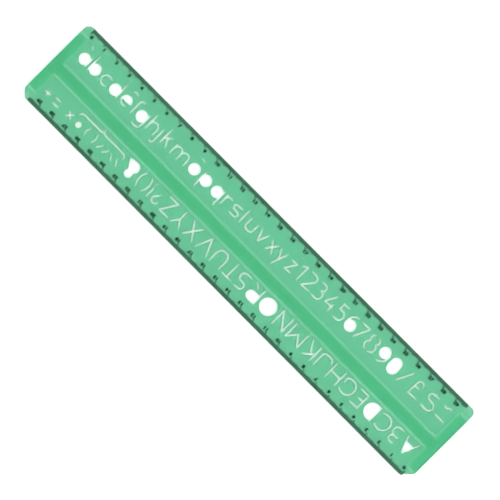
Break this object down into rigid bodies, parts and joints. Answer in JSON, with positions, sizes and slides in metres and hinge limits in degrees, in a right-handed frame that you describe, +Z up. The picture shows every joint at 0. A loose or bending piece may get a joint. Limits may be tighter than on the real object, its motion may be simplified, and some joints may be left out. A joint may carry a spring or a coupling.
{
  "type": "lettering stencil",
  "caption": "Flat see-through lettering stencil with cut-out letters, figures and signs in two rows, a middle rib and a printed millimetre scale along each sloping edge.",
  "frame": {"origin": "middle of the flat underside", "axes": "+X along the length, the way the small letters read; +Y towards the measuring edge above the small letters; +Z up out of the printed face"},
  "size_m": [0.308, 0.055, 0.002],
  "materials": {
    "tinted_plastic": "clear green moulded plastic, glossy",
    "scale_ink": "dark printed ink"
  },
  "bodies": {
    "root": {"stencil_plate": "tinted_plastic", "small_letter_scale": "scale_ink", "capital_letter_scale": "scale_ink"}
  },
  "joints": []
}
